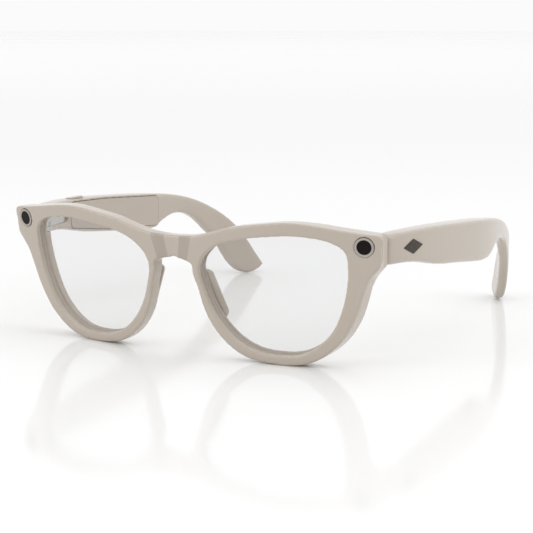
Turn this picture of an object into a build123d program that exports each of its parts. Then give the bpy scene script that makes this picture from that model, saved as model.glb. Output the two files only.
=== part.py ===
from build123d import *
from math import asin, atan, cos, degrees, radians, sin, sqrt
import os

os.makedirs("parts", exist_ok=True)

# Axes: X runs from the wearer's right to the wearer's left, Y from the front face back
# to the ear tips, Z up. The pair stands on its two rim bottoms and two ear tips at Z = 0.

# ---- driving sizes, mm ----
lens_width = 52.0          # one lens opening, boxed width
lens_height = 41.0         # one lens opening, boxed height
bridge_width = 20.0        # between the two lens openings
end_piece_width = 10.7     # lens opening to the outer side of the end piece
temple_length = 140.0      # seam at the end piece to the ear tip, straight
wrap_radius = 263.0        # curve of the front face seen from above
face_tilt = 7.9            # degrees, top of the front leans forward
bridge_depth = 5.4         # front to back at the bridge
rear_radius = 200.0        # curve of the rear face seen from above
end_piece_depth = 6.752    # front face to the temple seam, at the outer side
seam_gap = 0.2

lens_thickness = 2.0
lens_from_rear = 3.2       # lens front to the rear face at the bridge
groove_depth = 1.1
groove_clearance = 0.1

module_diameter = 6.3      # camera and light rings in the end pieces
module_depth = 3.0
window_diameter = 4.8
module_clearance = 0.05
module_in_from_side = 5.6
module_up = 2.0            # above the axis height of the front

channel_width = 1.6
cover_width = 2.8
cover_depth = 0.7
flex_thickness = 0.4
flex_width = 1.4
strip_clearance = 0.05

barrel_radius = 1.5
pin_radius = 0.7
pin_clearance = 0.03
hinge_height = 4.8
knuckle_gap = 0.05
barrel_clearance = 0.25
leaf_length = 15.0
leaf_height = 3.4
leaf_thickness = 1.0
screw_radius = 0.6
screw_head_radius = 1.1
screw_head_depth = 0.5
screw_length = 2.6

temple_thickness = 7.5
seam_step = 1.0            # side of the end piece in to the side of the temple
hinge_stand_off = 0.2      # hinge axis to the inner face of the temple
shell_wall = 1.8
inner_cover_thickness = 1.2
inner_cover_ledge = 0.9
fit_gap = 0.08
emblem_depth = 0.4
emblem_proud = 0.06

nose_pad_length = 19.0
nose_pad_width = 3.0
nose_pad_rise = 3.4        # crest of the pad behind the bridge
nose_pad_lean = -69.0      # degrees, the pads run down and outward

component_gap = 1.1        # thick components to the outer wall
cover_room = 0.5           # thick components to the inner cover
mainboard_thickness = 0.8
touch_board_thickness = 0.4
speaker_length = 16.0
switch_thickness = 1.4

button_length = 8.8
button_width = 2.4
button_proud = 0.5
button_travel = 0.4
button_gap = 0.1
flange_thickness = 0.4
knob_length = 2.2
knob_width = 1.4
knob_travel = 2.0

facet_depth = 0.8
channel_depth = 1.3
contact_x = 2.3
contact_drop = 2.4
contact_radius = 0.8
contact_depth = 1.2
port_radius = 0.6
bezel_proud = 0.15

# ---- derived sizes ----
bridge_half = bridge_width / 2
lens_set_back = bridge_depth - lens_from_rear
axis_z = 0.939 * lens_height
side_x = bridge_half + lens_width + end_piece_width
seam_back = wrap_radius - sqrt(wrap_radius**2 - side_x**2) + end_piece_depth
overall_depth = seam_back + temple_length + 1.0
front_y = -overall_depth / 2
seam_y = front_y + seam_back
hinge_x = side_x - seam_step - temple_thickness - hinge_stand_off
end_piece_top = 1.164 * axis_z
end_piece_bottom = 0.904 * axis_z
hinge_middle = 1.003 * axis_z
tilt_cos = cos(radians(face_tilt))
tilt_sin = sin(radians(face_tilt))

front_plane = Plane(
    origin=(0, front_y, axis_z), x_dir=(1, 0, 0), z_dir=(0, -tilt_cos, -tilt_sin)
)
# Seen along the tilted height of the front: local x across, local y back from the face.
wrap_plane = Plane(
    origin=(0, front_y, axis_z), x_dir=(1, 0, 0), z_dir=(0, -tilt_sin, tilt_cos)
)
# Straight front view: local x across, local y is height above the axis of the front.
view_plane = Plane(
    origin=(0, front_y - 10, axis_z), x_dir=(1, 0, 0), z_dir=(0, -1, 0)
)


def across(share):
    """Distance from the middle: -1..0 over the half bridge, 0..1 lens, 1..2 end piece."""
    if share < 0:
        return bridge_half * (1 + share)
    if share <= 1:
        return bridge_half + share * lens_width
    return bridge_half + lens_width + (share - 1) * end_piece_width


def rim_points(side, pairs):
    """Across and up shares turned into points of one half of the front."""
    return [(side * across(a), b * lens_height) for a, b in pairs]


brow_line = [
    (-1, 0.076), (-0.15, 0.088), (0.104, 0.127), (0.231, 0.176), (0.429, 0.217),
    (0.6, 0.241), (0.769, 0.232), (0.962, 0.2), (1.56, 0.178), (1.88, 0.171),
]
rim_line = [
    (2.0, 0.024), (1.944, -0.061), (1.794, -0.115), (1.607, -0.172), (1.327, -0.346),
    (1.028, -0.546), (0.931, -0.7), (0.846, -0.807), (0.729, -0.898), (0.596, -0.937),
    (0.442, -0.934), (0.298, -0.902), (0.154, -0.79), (0.058, -0.637), (0.004, -0.476),
    (-0.14, -0.317), (-0.27, -0.195), (-0.5, -0.128), (-0.75, -0.105), (-1, -0.1),
]
opening_line = [
    (0.0, -0.22), (0.012, -0.137), (0.106, -0.01), (0.26, 0.067), (0.462, 0.105),
    (0.635, 0.12), (0.788, 0.106), (0.915, 0.062), (0.971, 0.007), (0.99, -0.122),
    (0.979, -0.273), (0.935, -0.488), (0.858, -0.678), (0.763, -0.79), (0.635, -0.868),
    (0.5, -0.88), (0.356, -0.854), (0.221, -0.761), (0.119, -0.62), (0.048, -0.446),
    (0.019, -0.329),
]
cable_line = [
    (0, 0.046), (0.192, 0.1), (0.385, 0.149), (0.596, 0.18), (0.769, 0.176), (0.9, 0.152),
]


def arc_depth(radius, middle_depth, x):
    """Depth behind the front plane of a vertical cylinder face at x."""
    return middle_depth + radius - sqrt(radius * radius - x * x)


def curved_slab(near_radius, near_depth, far_radius, far_depth):
    """The space between two upright curved faces of the front."""
    reach = side_x + 5
    near_side = arc_depth(near_radius, near_depth, reach)
    far_side = arc_depth(far_radius, far_depth, reach)
    with BuildPart() as slab:
        with BuildSketch(wrap_plane.offset(-60)):
            with BuildLine():
                ThreePointArc((-reach, near_side), (0, near_depth), (reach, near_side))
                Line((reach, near_side), (reach, far_side))
                ThreePointArc((reach, far_side), (0, far_depth), (-reach, far_side))
                Line((-reach, far_side), (-reach, near_side))
            make_face()
        extrude(amount=120)
    return slab.part


def front_slab(near, far):
    """Between two depths behind the front face."""
    return curved_slab(wrap_radius - near, near, wrap_radius - far, far)


def rear_slab(ahead, behind):
    """Between two depths measured forward from the rear face."""
    return curved_slab(
        rear_radius + ahead, bridge_depth - ahead, rear_radius + behind, bridge_depth - behind
    )


def grown(points, amount):
    """A closed outline moved outward by an amount, point by point."""
    moved = []
    for here in range(len(points)):
        before = points[here - 1]
        after = points[(here + 1) % len(points)]
        run = Vector(after[0] - before[0], after[1] - before[1], 0).normalized()
        moved.append((points[here][0] - run.Y * amount, points[here][1] + run.X * amount))
    return moved


def lens_prism(grow):
    """The wearer's left lens opening, grown by an amount, run straight through the front."""
    with BuildPart() as prism:
        with BuildSketch(front_plane):
            with BuildLine():
                Spline(*grown(rim_points(1, opening_line), grow), periodic=True)
            make_face()
        extrude(amount=-40)
    return prism.part


def cable_prism(width):
    """A strip of the given width along the brow, from the middle to the end piece."""
    points = [(0, 0.02 * lens_height)] + [(across(a), b * lens_height) for a, b in cable_line]
    above = [(x, z + width / 2) for x, z in points]
    below = [(x, z - width / 2) for x, z in points]
    with BuildPart() as prism:
        with BuildSketch(view_plane):
            with BuildLine():
                top = Spline(*above, tangents=((1, 0), (1, -0.2)))
                low = Spline(*below, tangents=((1, 0), (1, -0.2)))
                Line(top @ 0, low @ 0)
                Line(top @ 1, low @ 1)
            make_face()
        extrude(amount=-60)
    return prism.part


def both_sides(half):
    """A half and its mirror image, joined at the middle."""
    with BuildPart() as pair:
        add(half)
        mirror(about=Plane.YZ)
    return pair.part


def on_side(side, piece):
    """The piece as made for the wearer's left, or its mirror image for the right."""
    return piece if side > 0 else mirror(piece, about=Plane.YZ)


def write(name, piece):
    piece.label = name
    export_step(piece, f"parts/{name}.step")


# ---- front rim, made as its left half and mirrored ----
module_x = side_x - module_in_from_side
module_lean = asin(module_x / wrap_radius)
module_back = arc_depth(wrap_radius, 0, module_x)
module_plane = Plane(
    origin=front_plane.from_local_coords((module_x, module_up, -module_back)),
    x_dir=(cos(module_lean), sin(module_lean) * tilt_cos, sin(module_lean) * tilt_sin),
    z_dir=(sin(module_lean), -cos(module_lean) * tilt_cos, -cos(module_lean) * tilt_sin),
)
rear_plane = front_plane.offset(-bridge_depth)
pocket_bottom = hinge_middle - hinge_height / 2 - 0.2
pocket_height = hinge_height + 0.7
pocket_front = seam_y - 3.6
pocket_outer = side_x - 3.2
end_piece_inner = hinge_x - barrel_radius

# Groove that holds the lens.
with BuildPart() as lens_groove:
    add(lens_prism(groove_depth))
    add(
        front_slab(
            lens_set_back - groove_clearance,
            lens_set_back + lens_thickness + groove_clearance,
        ),
        mode=Mode.INTERSECT,
    )

# Shallow keyhole facets on the face of the bridge.
with BuildPart() as bridge_facets:
    for height, inner, outer in ((7, 3.5, 8.8), (-7, 1.7, 5.4)):
        with BuildSketch(wrap_plane.offset(height)):
            Polygon(
                (-1, -3), (-1, facet_depth), (inner, facet_depth), (outer, 0), (outer, -3),
                align=None,
            )
    loft()

# Cable channel along the brow with a wider seat for its cover.
with BuildPart() as cover_seat:
    add(cable_prism(cover_width))
    add(rear_slab(cover_depth, -3), mode=Mode.INTERSECT)

with BuildPart() as cable_channel:
    add(cable_prism(channel_width))
    add(rear_slab(channel_depth, -3), mode=Mode.INTERSECT)

with BuildPart() as front_half:
    with BuildSketch(view_plane):
        with BuildLine():
            brow = Spline(*rim_points(1, brow_line), tangents=((1, 0), (1, -0.1)))
            corner = (side_x, 0.122 * lens_height)
            TangentArc(brow @ 1, corner, tangent=brow % 1)
            Line(corner, (side_x, rim_line[0][1] * lens_height))
            under = Spline(*rim_points(1, rim_line), tangents=((0, -1), (-1, 0)))
            Line(under @ 1, brow @ 0)
        make_face()
    extrude(amount=-60)
    add(curved_slab(wrap_radius, 0, rear_radius, bridge_depth), mode=Mode.INTERSECT)
    # The end piece reaches back to the seam with the temple.
    with BuildSketch(Plane.XY.offset(end_piece_bottom)):
        with BuildLine():
            Polyline(
                (end_piece_inner, seam_y - 5), (end_piece_inner, seam_y + 0.5),
                (side_x - 1, seam_y + 0.5), (side_x - 2, seam_y - 5), close=True,
            )
        make_face()
    extrude(amount=end_piece_top - end_piece_bottom)
    # Its side is waisted between the front corner and the seam.
    with BuildSketch(Plane.XY.offset(0.5 * axis_z)):
        with BuildLine():
            Polyline(
                (side_x - 0.9, seam_y), (side_x - 0.9, seam_y + 20), (side_x + 10, seam_y + 20),
                (side_x + 10, seam_y - 8), (side_x + 0.3, seam_y - 7.4),
            )
            ThreePointArc(
                (side_x + 0.3, seam_y - 7.4), (side_x - 1.4, seam_y - 3.2),
                (side_x - 0.9, seam_y),
            )
        make_face()
    extrude(amount=80, mode=Mode.SUBTRACT)
    # Its back is cut level at the seam, and the cut runs out into the rim below.
    with BuildSketch(Plane.YZ.offset(side_x - 16)):
        Polygon(
            (seam_y, axis_z + 30), (seam_y, end_piece_bottom - 7), (seam_y + 2.5, 10),
            (seam_y + 30, 10), (seam_y + 30, axis_z + 30), align=None,
        )
    extrude(amount=30, mode=Mode.SUBTRACT)
    # The top of the end piece falls back towards the temple.
    with BuildSketch(Plane.YZ):
        Polygon(
            (seam_y - 6, end_piece_top + 3.6), (seam_y + 1, end_piece_top - 0.5),
            (seam_y + 1, axis_z + 30), (seam_y - 6, axis_z + 30), align=None,
        )
    extrude(amount=side_x + 5, mode=Mode.SUBTRACT)
    add(lens_prism(0), mode=Mode.SUBTRACT)
    for cut in (lens_groove, bridge_facets, cover_seat, cable_channel):
        add(cut.part, mode=Mode.SUBTRACT)
    # Bore for the camera or the light.
    with BuildSketch(module_plane.offset(2)):
        Circle(module_diameter / 2 + module_clearance)
    extrude(amount=-module_depth - 2, mode=Mode.SUBTRACT)
    # Pocket for the front hinge leaf, open to the back and to the inner side.
    with BuildSketch(Plane.XY.offset(pocket_bottom)):
        Polygon(
            (hinge_x - 4, pocket_front), (pocket_outer, pocket_front),
            (pocket_outer, seam_y + 3), (hinge_x - 4, seam_y + 3), align=None,
        )
    extrude(amount=pocket_height, mode=Mode.SUBTRACT)
    # Seat for a charging contact.
    with BuildSketch(rear_plane):
        with Locations((contact_x, -contact_drop)):
            Circle(contact_radius + strip_clearance)
    extrude(amount=contact_depth, mode=Mode.SUBTRACT)

with BuildPart() as front_rim:
    add(both_sides(front_half.part))
    # Seat of the bridge microphone.
    with BuildSketch(rear_plane):
        with Locations((0, -contact_drop)):
            Circle(port_radius + strip_clearance)
    extrude(amount=contact_depth, mode=Mode.SUBTRACT)
write("front_rim", front_rim.part)

# ---- lenses ----
with BuildPart() as lens:
    add(lens_prism(groove_depth - groove_clearance))
    add(front_slab(lens_set_back, lens_set_back + lens_thickness), mode=Mode.INTERSECT)

# ---- nose pads, bonded to the back of the rim ----
# Depth behind the bridge, shift outward, and shares of the length and width.
pad_sections = (
    (-0.7, 0.0, 1.0, 1.0), (0.6 * nose_pad_rise, 0.7, 0.92, 0.85), (nose_pad_rise, 1.2, 0.8, 0.6),
)
with BuildPart() as nose_pad:
    for behind, shift, long, wide in pad_sections:
        with BuildSketch(front_plane.offset(-bridge_depth - behind)):
            with Locations((bridge_half + 1.2 + shift, -0.44 * lens_height)):
                SlotOverall(long * nose_pad_length, wide * nose_pad_width, rotation=nose_pad_lean)
    loft()
    add(curved_slab(rear_radius, bridge_depth, rear_radius, bridge_depth + 20), mode=Mode.INTERSECT)

for side, wearer in ((1, "left"), (-1, "right")):
    write(f"{wearer}_lens", on_side(side, lens.part))
    write(f"{wearer}_nose_pad", on_side(side, nose_pad.part))

# ---- cover and cable of the brow channel ----
with BuildPart() as cover_half:
    add(cable_prism(cover_width - 2 * strip_clearance))
    add(rear_slab(cover_depth - strip_clearance, 0), mode=Mode.INTERSECT)
write("back_cover", both_sides(cover_half.part))

with BuildPart() as flex_half:
    add(cable_prism(flex_width))
    add(
        rear_slab(channel_depth - strip_clearance, channel_depth - strip_clearance - flex_thickness),
        mode=Mode.INTERSECT,
    )
write("front_flex_cable", both_sides(flex_half.part))

# ---- camera at the wearer's right, light at the wearer's left ----
bezel_depth = 0.8
barrel_depth = 1.6
board_depth = module_depth - bezel_depth - barrel_depth


def module_disc(top, thickness, outer, inner=0.0):
    """A disc or ring in the bore, its top face this far below the rim face."""
    with BuildPart() as disc:
        with BuildSketch(module_plane.offset(-top)):
            Circle(outer)
            if inner:
                Circle(inner, mode=Mode.SUBTRACT)
        extrude(amount=-thickness)
    return disc.part


module_radius = module_diameter / 2
window_radius = window_diameter / 2
module_pieces = {
    "bezel": module_disc(-bezel_proud, bezel_depth + bezel_proud, module_radius,
                         window_radius + module_clearance),
    "window": module_disc(0.1, bezel_depth - 0.1, window_radius),
    "barrel": module_disc(bezel_depth, barrel_depth, window_radius - 0.2, 0.9),
    "board": module_disc(bezel_depth + barrel_depth, board_depth, module_radius - 0.3),
}
for piece, body in module_pieces.items():
    write(f"camera_{piece}", on_side(-1, body))
    light_name = "light_guide" if piece == "barrel" else f"light_{piece}"
    write(light_name, body)

# ---- charging contacts and bridge microphone ----
with BuildPart() as charging_contacts:
    with BuildSketch(rear_plane.offset(contact_depth)):
        with Locations((-contact_x, -contact_drop), (contact_x, -contact_drop)):
            Circle(contact_radius)
    extrude(amount=-contact_depth)
write("charging_contacts", charging_contacts.part)

with BuildPart() as bridge_microphone:
    with BuildSketch(rear_plane.offset(contact_depth)):
        with Locations((0, -contact_drop)):
            Circle(port_radius)
    extrude(amount=-contact_depth + 0.2)
write("bridge_microphone", bridge_microphone.part)

# ---- hinges ----
hinge_low = hinge_middle - hinge_height / 2
hinge_top = hinge_middle + hinge_height / 2
knuckle_height = (hinge_height - 2 * knuckle_gap) / 3
middle_low = hinge_low + knuckle_height + knuckle_gap
# The inner face of the temple runs outward from the hinge, and the leaf follows it.
leaf_angle = degrees(atan(3.38 / (0.109 * temple_length)))
leaf_plane = Plane(
    origin=(hinge_x, seam_y, hinge_middle),
    x_dir=(sin(radians(leaf_angle)), cos(radians(leaf_angle)), 0),
    z_dir=(cos(radians(leaf_angle)), -sin(radians(leaf_angle)), 0),
)
leaf_near = barrel_radius - leaf_thickness + 0.8
screw_stations = (8.5, 13.5)

with BuildPart() as front_leaf:
    with BuildSketch(Plane.XY.offset(hinge_low)):
        with BuildLine():
            Polyline(
                (hinge_x - barrel_radius, pocket_front), (pocket_outer - 0.05, pocket_front),
                (pocket_outer - 0.05, seam_y - 0.2), (hinge_x + 2, seam_y - 0.2),
                (hinge_x + 2, seam_y - 2), (hinge_x - barrel_radius, seam_y - 2), close=True,
            )
        make_face()
    extrude(amount=hinge_height)
    # Two knuckles reach back to the pin.
    for low in (hinge_low, hinge_top - knuckle_height):
        with BuildSketch(Plane.XY.offset(low)):
            with Locations((hinge_x, seam_y)):
                Circle(barrel_radius)
            with Locations((hinge_x, seam_y - 1)):
                Rectangle(2 * barrel_radius, 2)
        extrude(amount=knuckle_height)
    with BuildSketch(Plane.XY.offset(hinge_low)):
        with Locations((hinge_x, seam_y)):
            Circle(pin_radius + pin_clearance)
    extrude(amount=hinge_height, mode=Mode.SUBTRACT)
    # The middle knuckle turns in the space between them.
    with BuildSketch(Plane.XY.offset(middle_low - knuckle_gap)):
        with Locations((hinge_x, seam_y)):
            Circle(barrel_radius + barrel_clearance)
    extrude(amount=knuckle_height + 2 * knuckle_gap, mode=Mode.SUBTRACT)

with BuildPart() as temple_leaf:
    with BuildSketch(Plane.XY.offset(middle_low)):
        with Locations((hinge_x, seam_y)):
            Circle(barrel_radius)
    extrude(amount=knuckle_height)
    # Arm from the knuckle, then the plate that lies in the temple.
    with BuildSketch(leaf_plane.offset(leaf_near - 0.8)):
        with Locations((2.4, 0)):
            Rectangle(4.8, knuckle_height)
    extrude(amount=leaf_thickness + 0.8 - 0.5)
    with BuildSketch(leaf_plane.offset(leaf_near)):
        with Locations((barrel_radius + 2 + leaf_length / 2, 0)):
            Rectangle(leaf_length, leaf_height)
    extrude(amount=leaf_thickness)
    with BuildSketch(leaf_plane.offset(leaf_near - 3)):
        for station in screw_stations:
            with Locations((station, 0)):
                Circle(screw_radius + pin_clearance)
    extrude(amount=leaf_thickness + 5, mode=Mode.SUBTRACT)
    with BuildSketch(leaf_plane.offset(leaf_near - 3)):
        for station in screw_stations:
            with Locations((station, 0)):
                Circle(screw_head_radius + pin_clearance)
    extrude(amount=3 + screw_head_depth, mode=Mode.SUBTRACT)
    with BuildSketch(Plane.XY.offset(hinge_low)):
        with Locations((hinge_x, seam_y)):
            Circle(pin_radius + pin_clearance)
    extrude(amount=hinge_height, mode=Mode.SUBTRACT)

with BuildPart() as hinge_pin:
    with BuildSketch(Plane.XY.offset(hinge_low)):
        with Locations((hinge_x, seam_y)):
            Circle(pin_radius)
    extrude(amount=hinge_height)
    with BuildSketch(Plane.XY.offset(hinge_top)):
        with Locations((hinge_x, seam_y)):
            Circle(1.1)
    extrude(amount=0.3)

with BuildPart() as leaf_screws:
    with BuildSketch(leaf_plane.offset(leaf_near)):
        for station in screw_stations:
            with Locations((station, 0)):
                Circle(screw_head_radius)
    extrude(amount=screw_head_depth)
    with BuildSketch(leaf_plane.offset(leaf_near + screw_head_depth)):
        for station in screw_stations:
            with Locations((station, 0)):
                Circle(screw_radius)
    extrude(amount=screw_length)

for side, wearer in ((1, "left"), (-1, "right")):
    write(f"{wearer}_front_leaf", on_side(side, front_leaf.part))
    write(f"{wearer}_temple_leaf", on_side(side, temple_leaf.part))
    write(f"{wearer}_hinge_pin", on_side(side, hinge_pin.part))
    write(f"{wearer}_leaf_screws", on_side(side, leaf_screws.part))

# ---- temples ----
# Seen from above: share of the length back from the seam, outer face from the side of the
# end piece, thickness as a share of the thickest.
temple_stations = [
    (-0.002, -seam_step, 1.0), (0.107, 2.5, 1.0), (0.25, 4.1, 1.0), (0.4, 4.4, 1.0),
    (0.557, 3.6, 0.93), (0.664, 1.6, 0.73), (0.771, -1.3, 0.61), (0.879, -6.0, 0.56),
    (0.95, -11.6, 0.53), (1.02, -17.2, 0.5),
]
# Seen from the side: share of the length, height as a share of the axis height.
temple_top = [
    (0, 1.158), (0.107, 1.166), (0.314, 1.13), (0.564, 1.052), (0.693, 0.984),
    (0.836, 0.795), (0.919, 0.558), (0.965, 0.306), (0.992, 0.151), (1.0, 0.091),
]
temple_low = [
    (1.0, 0.091), (0.99, 0.043), (0.972, 0.01), (0.949, 0.0), (0.93, 0.022),
    (0.912, 0.073), (0.86, 0.356), (0.807, 0.553), (0.76, 0.696), (0.721, 0.764),
    (0.668, 0.795), (0.611, 0.758), (0.571, 0.701), (0.53, 0.68), (0.457, 0.699),
    (0.321, 0.761), (0.207, 0.813), (0.107, 0.883), (0.036, 0.901), (0, 0.901),
]
hollow_start = 0.146
hollow_end = 0.564


def along(share):
    return seam_y + seam_gap + share * (temple_length - seam_gap)


def outer_line(inset):
    return [(side_x + out - inset, along(s)) for s, out, thick in temple_stations]


def inner_line(inset):
    return [
        (side_x + out - thick * temple_thickness + inset, along(s))
        for s, out, thick in temple_stations
    ]


def temple_plan(outer, inner):
    """The space between two lines seen from above, over the whole height."""
    with BuildPart() as plan:
        with BuildSketch(Plane.XY.offset(-5)):
            with BuildLine():
                far = Spline(*outer)
                near = Spline(*inner)
                Line(far @ 0, near @ 0)
                Line(far @ 1, near @ 1)
            make_face()
        extrude(amount=axis_z * 1.2 + 20)
    return plan.part


def hollow_outline(grow):
    """Side view of the hollow in the temple, grown by an amount."""
    front = along(hollow_start) - grow
    back = along(hollow_end) + grow
    return [
        (front, 1.161 * axis_z - shell_wall + grow),
        (along(0.314), 1.128 * axis_z - shell_wall + grow),
        (back, 1.052 * axis_z - shell_wall + grow),
        (back, 0.69 * axis_z + shell_wall - grow),
        (along(0.321), 0.765 * axis_z + shell_wall - grow),
        (front, 0.862 * axis_z + shell_wall - grow),
    ]


def hollow_prism(grow, corner_radius):
    with BuildPart() as prism:
        with BuildSketch(Plane.YZ) as outline:
            Polygon(*hollow_outline(grow), align=None)
            fillet(outline.vertices(), corner_radius)
        extrude(amount=side_x + 40)
    return prism.part


# Centre line of the hollow, which the pieces inside follow.
hollow_drop = 12.25 / temple_length
hollow_front_z = 1.03 * axis_z


def inside_plane(back, depth):
    """A plane in the hollow: back from the seam, depth in from the outer face line."""
    height = hollow_front_z - hollow_drop * (back - 0.143 * temple_length)
    lean = -atan(hollow_drop)
    return Plane(
        origin=(side_x + 4.2 - depth, seam_y + back, height),
        x_dir=(0, cos(lean), sin(lean)),
        z_dir=(1, 0, 0),
    )


# Hollow for the electronics, with a ledge for the inner cover.
with BuildPart() as hollow:
    add(hollow_prism(0, 1.5))
    add(temple_plan(outer_line(shell_wall), inner_line(-5)), mode=Mode.INTERSECT)

with BuildPart() as cover_rebate:
    add(hollow_prism(inner_cover_ledge, 2.2))
    add(
        temple_plan(inner_line(inner_cover_thickness + 0.02), inner_line(-5)),
        mode=Mode.INTERSECT,
    )

with BuildPart() as shell_body:
    with BuildSketch(Plane.YZ):
        with BuildLine():
            side_view = Spline(*[(along(s), h * axis_z) for s, h in temple_top + temple_low[1:]])
            Line(side_view @ 1, side_view @ 0)
        make_face()
    extrude(amount=side_x + 40)
    add(temple_plan(outer_line(0), inner_line(0)), mode=Mode.INTERSECT)
    for cut in (hollow, cover_rebate):
        add(cut.part, mode=Mode.SUBTRACT)
    # Room for the knuckles of the hinge.
    with BuildSketch(Plane.XY.offset(pocket_bottom)):
        with Locations((hinge_x, seam_y)):
            Circle(barrel_radius + barrel_clearance)
    extrude(amount=pocket_height, mode=Mode.SUBTRACT)
    # Recess for the plate and arm of the temple leaf, and its screw holes.
    recess_length = barrel_radius + 2 + leaf_length + 0.1
    with BuildSketch(leaf_plane.offset(leaf_near - 4)):
        with Locations((recess_length / 2, 0)):
            Rectangle(recess_length, leaf_height + 2 * strip_clearance)
    extrude(amount=4 + leaf_thickness + 0.02, mode=Mode.SUBTRACT)
    with BuildSketch(leaf_plane.offset(leaf_near)):
        for station in screw_stations:
            with Locations((station, 0)):
                Circle(screw_radius + pin_clearance)
    extrude(amount=screw_head_depth + screw_length + 0.2, mode=Mode.SUBTRACT)

# Speaker port through the underside, and a microphone port further forward.
hollow_front = hollow_start * temple_length
hollow_back = hollow_end * temple_length
speaker_back = hollow_back - 11
microphone_back = hollow_front + 5.6
with BuildPart() as ported_body:
    add(shell_body.part)
    with BuildSketch(Plane.XY):
        with Locations((side_x + 0.6, seam_y + speaker_back)):
            Rectangle(2.2, 9)
        with Locations((side_x + 0.2, seam_y + microphone_back)):
            Circle(0.5)
    extrude(amount=axis_z * 0.9, mode=Mode.SUBTRACT)

# Lozenge inlay on the outer face, near the seam.
inlay_back = 12.5


def inlay(near, far, shrink):
    with BuildPart() as piece:
        with BuildSketch(Plane.YZ):
            with Locations((seam_y + inlay_back, axis_z + 1.2)):
                Polygon(
                    (-5.5 + shrink, 0), (0, 2.5 - shrink), (5.5 - shrink, 0), (0, -2.5 + shrink),
                    align=None,
                )
        extrude(amount=side_x + 40)
        add(temple_plan(outer_line(near), outer_line(far)), mode=Mode.INTERSECT)
    return piece.part


button_back = hollow_front + 6.6
button_x = side_x + 3.25 - temple_thickness / 2
button_top = 1.155 * axis_z + button_proud
button_flange_top = 1.148 * axis_z - shell_wall - 0.25

with BuildPart() as right_body:
    add(ported_body.part)
    add(inlay(-1, emblem_depth, 0), mode=Mode.SUBTRACT)
    # Slot for the capture button in the top.
    with BuildSketch(Plane.XY.offset(button_flange_top - 1)):
        with Locations((button_x, seam_y + button_back)):
            SlotOverall(button_length + 2 * button_gap, button_width + 2 * button_gap, rotation=90)
    extrude(amount=10, mode=Mode.SUBTRACT)

with BuildPart() as left_body:
    add(ported_body.part)
    add(inlay(-1, emblem_depth, 0), mode=Mode.SUBTRACT)

write("left_temple_shell", left_body.part)
write("right_temple_shell", on_side(-1, right_body.part))

# ---- inner covers ----
with BuildPart() as inner_cover:
    add(hollow_prism(inner_cover_ledge - fit_gap, 2.2))
    add(temple_plan(inner_line(inner_cover_thickness), inner_line(0)), mode=Mode.INTERSECT)

knob_back = hollow_front + 7.6
knob_z = axis_z - 0.6
knob_face_x = side_x + 3.6 - temple_thickness
with BuildPart() as slotted_cover:
    add(inner_cover.part)
    with BuildSketch(Plane.YZ.offset(knob_face_x - 3)):
        with Locations((seam_y + knob_back + knob_travel / 2, knob_z)):
            SlotOverall(knob_length + knob_travel + 2 * button_gap, knob_width + 2 * button_gap)
    extrude(amount=6, mode=Mode.SUBTRACT)
write("left_inner_cover", slotted_cover.part)
write("right_inner_cover", on_side(-1, inner_cover.part))

for side, wearer in ((1, "left"), (-1, "right")):
    write(f"{wearer}_emblem", on_side(side, inlay(-emblem_proud, emblem_depth, fit_gap)))


def block(back, depth, thickness, length, height, rise=0.0):
    """A plain box in the hollow, its outer face this deep below the outer face line."""
    with BuildPart() as box:
        with BuildSketch(inside_plane(back, depth)):
            with Locations((0, rise)):
                Rectangle(length, height)
        extrude(amount=-thickness)
    return box.part


component_depth = shell_wall + component_gap
component_thickness = temple_thickness - inner_cover_thickness - cover_room - component_depth
component_height = 0.32 * axis_z - 2 * shell_wall - 1.7
can_thickness = component_thickness - mainboard_thickness - 0.4
board_front = hollow_front + 13.6
board_end = speaker_back - speaker_length / 2 - 2
board_back = (board_front + board_end) / 2
board_length = board_end - board_front

pair_pieces = {
    "speaker": block(speaker_back, component_depth, component_thickness, speaker_length,
                     component_height - 0.5, 0.8),
    "microphone": block(microphone_back, component_depth + 0.7, component_thickness - 1.1,
                        3.2, 1.0, -component_height / 2 - 0.1),
}
for piece, body in pair_pieces.items():
    for side, wearer in ((1, "left"), (-1, "right")):
        write(f"{wearer}_{piece}", on_side(side, body))

# Wearer's left: processor board with its shield can, and the power switch.
mainboard = block(board_back, component_depth + can_thickness, mainboard_thickness,
                  board_length, component_height)
write("mainboard", mainboard)
shield_can = block(board_back, component_depth, can_thickness, 0.75 * board_length,
                   component_height - 1)
write("shield_can", shield_can)

knob_base_x = knob_face_x + inner_cover_thickness + 0.4
with BuildPart() as power_knob:
    with BuildSketch(Plane.YZ.offset(knob_face_x - 0.5)):
        with Locations((seam_y + knob_back, knob_z)):
            SlotOverall(knob_length, knob_width)
    extrude(amount=knob_base_x - knob_face_x + 0.5)
    with BuildSketch(Plane.YZ.offset(knob_base_x)):
        with Locations((seam_y + knob_back, knob_z)):
            Rectangle(knob_length + 1.4, knob_width + 1.2)
    extrude(amount=0.4)
write("power_knob", power_knob.part)

with BuildPart() as power_switch:
    with BuildSketch(Plane.YZ.offset(knob_base_x + 0.5)):
        with Locations((seam_y + knob_back + knob_travel / 2, knob_z)):
            Rectangle(knob_length + knob_travel + 2, 3)
    extrude(amount=switch_thickness)
write("power_switch", power_switch.part)

# Wearer's right: battery, touch board, and the capture button over its switch.
battery = block(board_back, component_depth, component_thickness, board_length, component_height)
write("battery", on_side(-1, battery))
touch_board = block(board_back, shell_wall + 0.4, touch_board_thickness, board_length,
                    component_height - 0.6)
write("touch_board", on_side(-1, touch_board))

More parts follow.
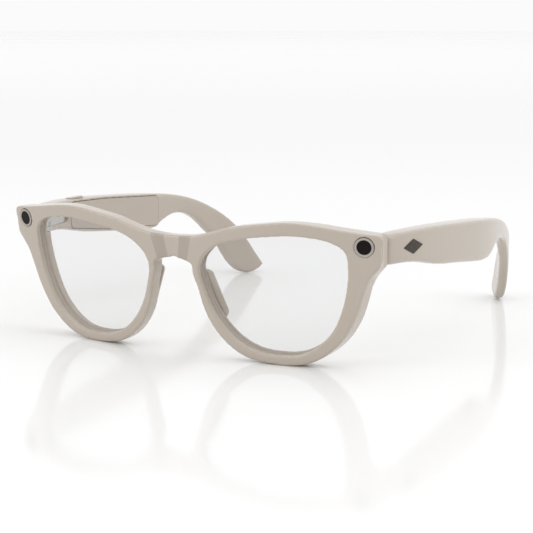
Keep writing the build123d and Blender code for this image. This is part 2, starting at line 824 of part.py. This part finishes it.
with BuildPart() as capture_button:
    with BuildSketch(Plane.XY.offset(button_flange_top)):
        with Locations((button_x, seam_y + button_back)):
            SlotOverall(button_length, button_width, rotation=90)
    extrude(amount=button_top - button_flange_top)
    fillet(capture_button.edges().group_by(Axis.Z)[-1], 0.3)
    with BuildSketch(Plane.XY.offset(button_flange_top - flange_thickness)):
        with Locations((button_x, seam_y + button_back)):
            SlotOverall(button_length + 1, button_width + 0.6, rotation=90)
    extrude(amount=flange_thickness)
write("capture_button", on_side(-1, capture_button.part))

switch_top = button_flange_top - flange_thickness - button_travel - 0.05
with BuildPart() as capture_switch:
    with BuildSketch(Plane.XY.offset(switch_top)):
        with Locations((button_x, seam_y + button_back)):
            Rectangle(button_width, 5.0)
    extrude(amount=-1.2)
write("capture_switch", on_side(-1, capture_switch.part))
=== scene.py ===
import bmesh
import bpy
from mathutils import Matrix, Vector
from mathutils.bvhtree import BVHTree


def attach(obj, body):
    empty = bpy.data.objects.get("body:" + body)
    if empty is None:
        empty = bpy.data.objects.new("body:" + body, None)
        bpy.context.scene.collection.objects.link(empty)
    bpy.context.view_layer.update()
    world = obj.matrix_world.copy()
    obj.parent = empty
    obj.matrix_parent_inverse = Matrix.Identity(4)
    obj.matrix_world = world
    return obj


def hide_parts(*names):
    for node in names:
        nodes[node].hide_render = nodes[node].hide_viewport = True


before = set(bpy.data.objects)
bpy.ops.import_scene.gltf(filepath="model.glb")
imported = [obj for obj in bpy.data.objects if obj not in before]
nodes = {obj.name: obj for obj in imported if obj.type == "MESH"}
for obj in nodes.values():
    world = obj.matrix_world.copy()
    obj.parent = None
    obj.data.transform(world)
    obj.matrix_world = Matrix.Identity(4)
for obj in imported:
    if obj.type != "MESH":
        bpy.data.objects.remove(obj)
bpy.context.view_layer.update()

# ---- Stage, camera and light ----
# A round pale table with a light polish under a white surround, and large soft lights: one
# overhead, one from the front left and one low from the wearer's left.
scene = bpy.context.scene
scene.view_settings.view_transform = "Standard"

camera_data = bpy.data.cameras.new("camera")
camera_data.lens = 99.9
camera_data.sensor_width = 36
camera_data.clip_end = 20
camera = bpy.data.objects.new("camera", camera_data)
scene.collection.objects.link(camera)
scene.camera = camera
camera.location = (0.2662, -0.4848, 0.1171)
aim = Vector((0.014, -0.039, 0.0261))
camera.rotation_euler = (aim - camera.location).to_track_quat("-Z", "Y").to_euler()


def new_material(name):
    """A Principled material with the object's own coordinates ready to use."""
    material = bpy.data.materials.new(name)
    material.use_nodes = True
    tree = material.node_tree
    shader = next(n for n in tree.nodes if n.type == "BSDF_PRINCIPLED")
    place = tree.nodes.new("ShaderNodeTexCoord")
    return material, tree, shader, place.outputs["Object"]


def noise(tree, place, scale, detail=3.0, roughness=0.5):
    """A noise pattern; scale counts its cells along one metre."""
    pattern = tree.nodes.new("ShaderNodeTexNoise")
    pattern.inputs["Scale"].default_value = scale
    pattern.inputs["Detail"].default_value = detail
    pattern.inputs["Roughness"].default_value = roughness
    tree.links.new(place, pattern.inputs["Vector"])
    return pattern.outputs["Fac"]


def spread(tree, value, low, high):
    """Turns a 0..1 pattern into a number between low and high."""
    ranged = tree.nodes.new("ShaderNodeMapRange")
    ranged.inputs["From Min"].default_value = 0.3
    ranged.inputs["From Max"].default_value = 0.7
    ranged.inputs["To Min"].default_value = low
    ranged.inputs["To Max"].default_value = high
    tree.links.new(value, ranged.inputs["Value"])
    return ranged.outputs["Result"]


def two_tones(tree, value, one, other):
    """Blends two colours by a 0..1 pattern."""
    ramp = tree.nodes.new("ShaderNodeValToRGB")
    ramp.color_ramp.elements[0].position = 0.3
    ramp.color_ramp.elements[1].position = 0.7
    ramp.color_ramp.elements[0].color = (*one, 1)
    ramp.color_ramp.elements[1].color = (*other, 1)
    tree.links.new(value, ramp.inputs["Fac"])
    return ramp.outputs["Color"]


def bump(tree, shader, value, strength, distance):
    relief = tree.nodes.new("ShaderNodeBump")
    relief.inputs["Strength"].default_value = strength
    relief.inputs["Distance"].default_value = distance
    tree.links.new(value, relief.inputs["Height"])
    tree.links.new(relief.outputs["Normal"], shader.inputs["Normal"])


table_paint, tree, shader, place = new_material("table_paint")
tree.links.new(
    two_tones(tree, noise(tree, place, 3), (0.865, 0.865, 0.865), (0.875, 0.875, 0.875)),
    shader.inputs["Base Color"],
)
shader.inputs["Roughness"].default_value = 0.1
shader.inputs["Specular IOR Level"].default_value = 0.2

table_radius = 6
table = bmesh.new()
bmesh.ops.create_circle(
    table, cap_ends=True, cap_tris=False, segments=96, radius=table_radius
)
table_mesh = bpy.data.meshes.new("table")
table.to_mesh(table_mesh)
table.free()
table_object = bpy.data.objects.new("table", table_mesh)
scene.collection.objects.link(table_object)
table_mesh.materials.append(table_paint)

world = bpy.data.worlds.new("surround")
scene.world = world
world.use_nodes = True
world.node_tree.nodes["Background"].inputs["Color"].default_value = (1, 1, 1, 1)
world.node_tree.nodes["Background"].inputs["Strength"].default_value = 0.965

for name, power, width, height, spot in (
    ("overhead", 1.9, 1.0, 1.0, (0.35, 0.1, 1.0)),
    ("front_left", 2.5, 0.6, 0.8, (-0.6, -1.0, 0.5)),
    ("side", 1.0, 0.5, 0.5, (0.9, 0.0, 0.55)),
):
    lamp = bpy.data.lights.new(name, "AREA")
    lamp.shape = "RECTANGLE"
    lamp.size = width
    lamp.size_y = height
    lamp.energy = power
    lamp_object = bpy.data.objects.new(name, lamp)
    scene.collection.objects.link(lamp_object)
    lamp_object.location = spot
    turn = Vector((0, 0, 0.02)) - Vector(spot)
    lamp_object.rotation_euler = turn.to_track_quat("-Z", "Y").to_euler()


# ---- Front ----
# One moulding in warm grey acetate-like plastic, polished all over. Its edges are tumbled
# round, and the lens grooves, the cable channel and the hinge pockets are cut into it.
mm = 0.001
fit_reach = 0.9 * mm     # within this of a fitted piece the edges stay crisp
even_passes = 2          # smoothing of the whole skin, fitted edges included


def polished_plastic(name, light, dark, gloss):
    material, tree, shader, place = new_material(name)
    cloud = noise(tree, place, 35, 1)
    tree.links.new(two_tones(tree, cloud, dark, light), shader.inputs["Base Color"])
    tree.links.new(
        spread(tree, noise(tree, place, 300, 3), gloss - 0.015, gloss + 0.02),
        shader.inputs["Roughness"],
    )
    shader.inputs["Coat Weight"].default_value = 0.5
    shader.inputs["Coat Roughness"].default_value = 0.1
    bump(tree, shader, noise(tree, place, 900, 2), 0.02, 0.00001)
    return material


warm_grey = ((0.455, 0.395, 0.332), (0.447, 0.387, 0.324))
frame_plastic = polished_plastic("frame_plastic", *warm_grey, 0.22)
# The front's copy of the plastic, the same as the frame's but with painted shade on the bridge
# facets.
front_plastic_painted_shade = polished_plastic("front_plastic_painted_shade", *warm_grey, 0.22)


def calculate(tree, action, one, other):
    """One step of arithmetic on a pattern; the second value may be a plain number."""
    step = tree.nodes.new("ShaderNodeMath")
    step.operation = action
    tree.links.new(one, step.inputs[0])
    if isinstance(other, (int, float)):
        step.inputs[1].default_value = other
    else:
        tree.links.new(other, step.inputs[1])
    return step.outputs["Value"]


def paint_facet_shade(material, low, high, darkness):
    """Paints shade onto the bridge facets by darkening their colour; low and high give a height,
    the inner and the outer edge.
    """
    tree = material.node_tree
    shader = next(n for n in tree.nodes if n.type == "BSDF_PRINCIPLED")
    place = next(n for n in tree.nodes if n.type == "TEX_COORD").outputs["Object"]
    split = tree.nodes.new("ShaderNodeSeparateXYZ")
    tree.links.new(place, split.inputs["Vector"])
    across = calculate(tree, "ABSOLUTE", split.outputs["X"], 0.0)
    edges = []
    for which in (0, 1):
        run = (high[which + 1] - low[which + 1]) / (high[0] - low[0])
        edge = calculate(tree, "MULTIPLY_ADD", split.outputs["Z"], run)
        edge.node.inputs[2].default_value = low[which + 1] - run * low[0]
        edges.append(edge)
    inside = calculate(tree, "GREATER_THAN", across, edges[0])
    outside = calculate(tree, "LESS_THAN", across, edges[1])
    above = calculate(tree, "GREATER_THAN", split.outputs["Z"], low[0] - 2 * mm)
    mask = calculate(tree, "MULTIPLY", inside, outside)
    mask = calculate(tree, "MULTIPLY", mask, above)
    mask = calculate(tree, "MULTIPLY", mask, darkness)
    # The painted shade colour, mixed into the plastic's colour inside the facet mask.
    plain = shader.inputs["Base Color"].links[0].from_socket
    blend = tree.nodes.new("ShaderNodeMixRGB")
    blend.inputs["Color2"].default_value = (0.22, 0.18, 0.145, 1)
    tree.links.new(mask, blend.inputs["Fac"])
    tree.links.new(plain, blend.inputs["Color1"])
    tree.links.new(blend.outputs["Color"], shader.inputs["Base Color"])


# Painted shade: the bridge facets' colour is pulled 35 % of the way to a dark brown, standing in
# for the dark reflections they show; their shallow geometry adds only a little real shading.
paint_facet_shade(front_plastic_painted_shade, (34 * mm, 2.0 * mm, 6.0 * mm), (42 * mm, 3.2 * mm, 8.1 * mm), 0.35)


def rounded_copy(name, node, body, material, cell, passes, crisp):
    """The CAD piece as one closed skin of even faces, tumbled smooth away from fitted pieces."""
    shape = bmesh.new()
    shape.from_mesh(nodes[node].data)
    bmesh.ops.remove_doubles(shape, verts=shape.verts, dist=0.002 * mm)
    mesh = bpy.data.meshes.new(name)
    shape.to_mesh(mesh)
    shape.free()
    piece = bpy.data.objects.new(name, mesh)
    scene.collection.objects.link(piece)
    skin = piece.modifiers.new("skin", "REMESH")
    skin.mode = "VOXEL"
    skin.voxel_size = cell
    evaluated = piece.evaluated_get(bpy.context.evaluated_depsgraph_get())
    even = bmesh.new()
    even.from_mesh(evaluated.to_mesh())
    piece.modifiers.remove(skin)
    fitted = bmesh.new()
    for other in crisp:
        fitted.from_mesh(nodes[other].data)
    near = BVHTree.FromBMesh(fitted)
    fitted.free()
    free = [v for v in even.verts if near.find_nearest(v.co, fit_reach)[0] is None]
    axes = {"use_axis_x": True, "use_axis_y": True, "use_axis_z": True}
    for count in range(even_passes):
        bmesh.ops.smooth_vert(even, verts=even.verts, factor=0.5, **axes)
    for count in range(passes - even_passes):
        bmesh.ops.smooth_vert(even, verts=free, factor=0.5, **axes)
    for face in even.faces:
        face.smooth = True
    even.to_mesh(mesh)
    even.free()
    mesh.materials.clear()
    mesh.materials.append(material)
    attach(piece, body)
    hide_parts(node)
    return piece


rounded_copy(
    "front_moulding", "front_rim", "front", front_plastic_painted_shade, 0.38 * mm, 9,
    ("camera_bezel", "light_bezel", "left_front_leaf", "right_front_leaf", "back_cover"),
)

# ---- Temples ----
# Hollow mouldings in the same plastic with softly rounded long edges, wide where they
# hold the electronics and narrow behind the ear.
for wearer in ("left", "right"):
    rounded_copy(
        f"{wearer}_temple_moulding", f"{wearer}_temple_shell", f"{wearer}_temple",
        frame_plastic, 0.4 * mm, 48, (f"{wearer}_inner_cover", f"{wearer}_temple_leaf"),
    )


def dress(material, *names):
    """Gives CAD pieces their finish."""
    for name in names:
        mesh = nodes[name].data
        mesh.materials.clear()
        mesh.materials.append(material)


dress(frame_plastic, "capture_button")

# ---- Nose pads ----
# Soft-edged pads in the same plastic, bonded to the rims behind the bridge.
for wearer in ("left", "right"):
    rounded_copy(
        f"{wearer}_pad_moulding", f"{wearer}_nose_pad", "front", frame_plastic, 0.2 * mm, 30, ()
    )

# ---- Covers ----
# Satin strips bonded over the cable channel and over the hollow of each temple.
satin_plastic = polished_plastic(
    "satin_plastic", (0.448, 0.388, 0.325), (0.440, 0.380, 0.318), 0.3
)
dress(satin_plastic, "back_cover", "left_inner_cover", "right_inner_cover")

# ---- Lenses ----
# Thin clear plastic lenses, curved like the front, with a faint grey cast.
lens_clear, tree, shader, place = new_material("lens_clear")
tree.links.new(
    two_tones(tree, noise(tree, place, 25), (0.20, 0.205, 0.215), (0.24, 0.245, 0.255)),
    shader.inputs["Base Color"],
)
tree.links.new(spread(tree, noise(tree, place, 400), 0.02, 0.04), shader.inputs["Roughness"])
shader.inputs["Alpha"].default_value = 0.085
dress(lens_clear, "left_lens", "right_lens")

# ---- Camera and light modules ----
# Satin metal rings around gloss black windows, one in each end piece.
ring_metal, tree, shader, place = new_material("ring_metal")
tree.links.new(
    two_tones(tree, noise(tree, place, 1500), (0.36, 0.33, 0.30), (0.42, 0.39, 0.36)),
    shader.inputs["Base Color"],
)
tree.links.new(spread(tree, noise(tree, place, 3000, 5), 0.28, 0.4), shader.inputs["Roughness"])
shader.inputs["Metallic"].default_value = 0.4
dress(ring_metal, "camera_bezel", "light_bezel")

window_black, tree, shader, place = new_material("window_black")
tree.links.new(
    two_tones(tree, noise(tree, place, 500), (0.004, 0.002, 0.002), (0.008, 0.004, 0.004)),
    shader.inputs["Base Color"],
)
tree.links.new(spread(tree, noise(tree, place, 900), 0.1, 0.16), shader.inputs["Roughness"])
shader.inputs["Specular IOR Level"].default_value = 0.12
dress(window_black, "camera_window", "light_window")


# ---- Metal of the hinges ----
# Brushed steel leaves, pins and screws.
def brushed_metal(name, dark, light, roughness):
    material, tree, shader, place = new_material(name)
    stretch = tree.nodes.new("ShaderNodeMapping")
    stretch.inputs["Scale"].default_value = (6, 0.4, 6)
    tree.links.new(place, stretch.inputs["Vector"])
    grain = noise(tree, stretch.outputs["Vector"], 1200, 6)
    tree.links.new(two_tones(tree, grain, dark, light), shader.inputs["Base Color"])
    gloss = spread(tree, grain, roughness - 0.06, roughness + 0.1)
    tree.links.new(gloss, shader.inputs["Roughness"])
    shader.inputs["Metallic"].default_value = 1.0
    bump(tree, shader, grain, 0.1, 0.00003)
    return material


steel = brushed_metal("hinge_steel", (0.50, 0.49, 0.47), (0.66, 0.65, 0.63), 0.3)
for wearer in ("left", "right"):
    dress(
        steel, f"{wearer}_front_leaf", f"{wearer}_temple_leaf", f"{wearer}_hinge_pin",
        f"{wearer}_leaf_screws",
    )
dress(
    brushed_metal("inlay_dark", (0.05, 0.045, 0.04), (0.09, 0.08, 0.07), 0.22),
    "left_emblem", "right_emblem",
)
dress(brushed_metal("contact_gold", (0.72, 0.50, 0.22), (0.85, 0.62, 0.30), 0.25),
      "charging_contacts")
dress(brushed_metal("tin_plate", (0.62, 0.62, 0.61), (0.74, 0.74, 0.73), 0.35), "shield_can")


# ---- Electronics ----
# Boards, speakers, microphones, cell and switches, seen through ports and slots only.
def matte(name, dark, light, scale, roughness):
    material, tree, shader, place = new_material(name)
    grain = noise(tree, place, scale, 4)
    tree.links.new(two_tones(tree, grain, dark, light), shader.inputs["Base Color"])
    gloss = spread(tree, grain, roughness - 0.08, roughness + 0.08)
    tree.links.new(gloss, shader.inputs["Roughness"])
    bump(tree, shader, grain, 0.15, 0.00004)
    return material


dress(
    matte("board_green", (0.006, 0.05, 0.025), (0.012, 0.09, 0.045), 1800, 0.4),
    "camera_board", "light_board", "mainboard", "touch_board",
)
dress(
    matte("black_moulding", (0.012, 0.012, 0.013), (0.03, 0.03, 0.031), 2600, 0.5),
    "camera_barrel", "left_speaker", "right_speaker", "left_microphone", "right_microphone",
    "bridge_microphone", "power_knob", "power_switch", "capture_switch",
)
dress(matte("cable_film", (0.42, 0.19, 0.04), (0.55, 0.27, 0.07), 300, 0.35), "front_flex_cable")
dress(matte("cell_foil", (0.20, 0.22, 0.24), (0.30, 0.32, 0.34), 700, 0.45), "battery")
dress(matte("guide_frost", (0.75, 0.75, 0.73), (0.85, 0.85, 0.83), 900, 0.3), "light_guide")
